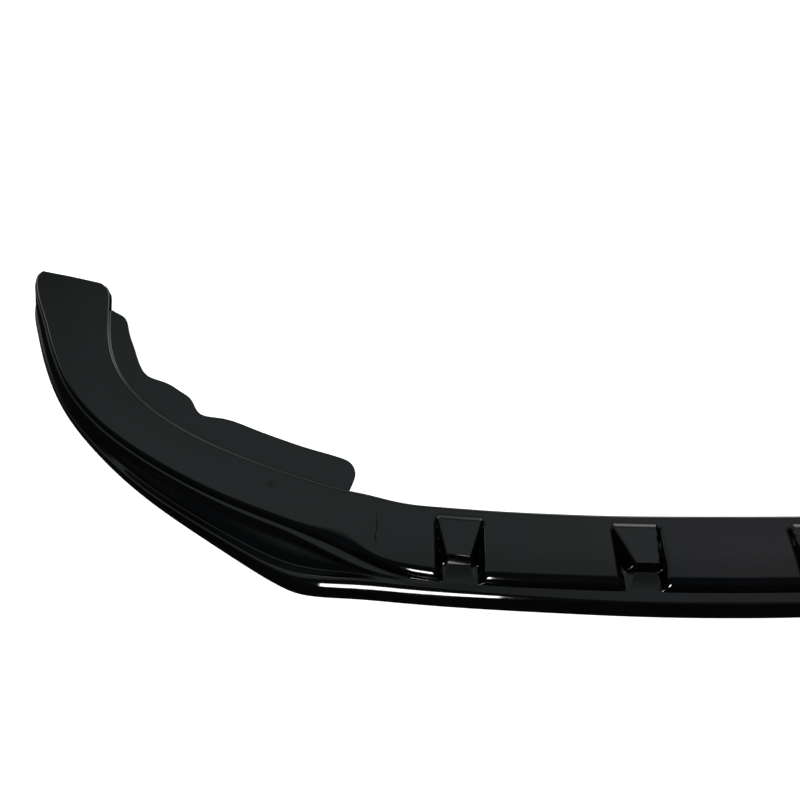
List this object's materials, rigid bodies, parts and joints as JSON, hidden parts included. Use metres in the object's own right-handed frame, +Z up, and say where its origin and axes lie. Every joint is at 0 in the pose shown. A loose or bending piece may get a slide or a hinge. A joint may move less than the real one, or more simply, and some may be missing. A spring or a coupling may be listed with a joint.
{
  "type": "bumper spoiler",
  "caption": "Full-width front bumper lip: one formed gloss-black sheet with a splitter edge, side air channels, raised teeth along the middle and fixing flanges behind the wings.",
  "frame": {"origin": "on the ground plane under the middle of the part's bounding box, with the lower rim standing on Z = 0", "axes": "+X across the car, +Y towards the car (the wings point that way), +Z up"},
  "size_m": [1.75, 0.4934, 0.0413],
  "materials": {
    "gloss_abs": "gloss black, as formed"
  },
  "bodies": {
    "root": {"front_lip": "gloss_abs"}
  },
  "joints": []
}
